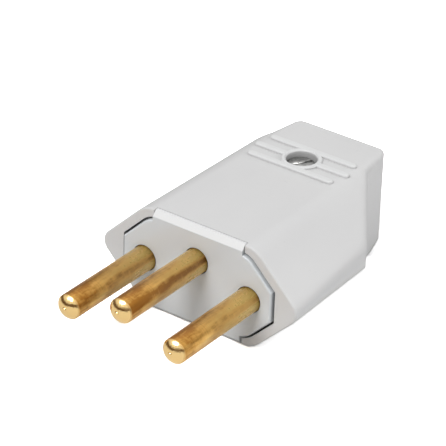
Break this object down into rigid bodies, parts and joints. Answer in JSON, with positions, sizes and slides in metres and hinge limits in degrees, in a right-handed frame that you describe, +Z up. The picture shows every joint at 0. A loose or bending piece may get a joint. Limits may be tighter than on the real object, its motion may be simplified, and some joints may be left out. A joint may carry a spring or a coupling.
{
  "type": "electrical plug",
  "caption": "Rewirable straight mains plug: six-sided two-part casing, round brass pins in a row with the earth offset, grip ribs, sunk casing screw, cord clamp.",
  "frame": {"origin": "middle of the engagement face, level with the axes of the line and neutral pins and on the plane where the two half shells part", "axes": "+Z is up, out of the ribbed top of the casing. +Y runs from the pins back to the cord inlet, so the pins point along -Y. +X is the side of the neutral pin."},
  "size_m": [0.0352, 0.057, 0.0174],
  "materials": {
    "shell_plastic": "light grey moulded thermoplastic, fine matt grain",
    "carrier_plastic": "light grey moulded thermoplastic, a little smoother than the shells",
    "pin_brass": "bare turned brass, burnished lengthwise",
    "nut_brass": "bare brass",
    "screw_steel": "zinc-plated steel"
  },
  "bodies": {
    "root": {"upper_shell": "shell_plastic", "lower_shell": "shell_plastic", "pin_carrier": "carrier_plastic", "line_pin": "pin_brass", "neutral_pin": "pin_brass", "earth_pin": "pin_brass", "line_terminal_screw": "screw_steel", "neutral_terminal_screw": "screw_steel", "earth_terminal_screw": "screw_steel", "casing_screw": "screw_steel", "casing_nut": "nut_brass", "cord_clamp": "carrier_plastic", "cord_clamp_screw_left": "screw_steel", "cord_clamp_screw_right": "screw_steel"}
  },
  "joints": []
}
